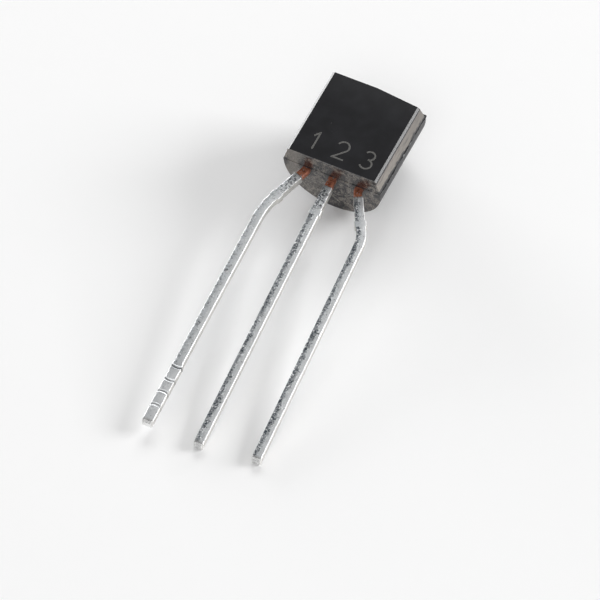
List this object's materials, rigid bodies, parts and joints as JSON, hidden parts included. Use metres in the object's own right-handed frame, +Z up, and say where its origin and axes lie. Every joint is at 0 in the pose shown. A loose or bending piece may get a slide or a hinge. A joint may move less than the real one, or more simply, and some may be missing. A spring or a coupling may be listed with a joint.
{
  "type": "to-92 transistor",
  "caption": "Three-lead moulded transistor with a flat front and a round back, its two outer leads spread for a board.",
  "frame": {"origin": "on the surface the part lies on, under the middle of its bounding box", "axes": "+Z up from that surface, +Y from the lead tips to the moulding's closed end, +X towards the emitter lead's side; the flat front faces up, leaned 5.3 degrees back and 5.6 degrees sideways as the part settles on its round back and two lead tips"},
  "size_m": [0.0058, 0.0188, 0.0039],
  "materials": {
    "moulding": "smooth black moulding compound with a soft shine",
    "collector_strip": "solder-coated strip",
    "base_strip": "solder-coated strip",
    "emitter_strip": "solder-coated strip",
    "silicon": "polished silicon",
    "die_bond": "matt silver-filled bond",
    "gold_wire": "drawn gold wire"
  },
  "bodies": {
    "root": {"body": "moulding", "collector_lead": "collector_strip", "base_lead": "base_strip", "emitter_lead": "emitter_strip", "silicon_die": "silicon", "die_attach": "die_bond", "base_bond_wire": "gold_wire", "emitter_bond_wire": "gold_wire"}
  },
  "joints": []
}
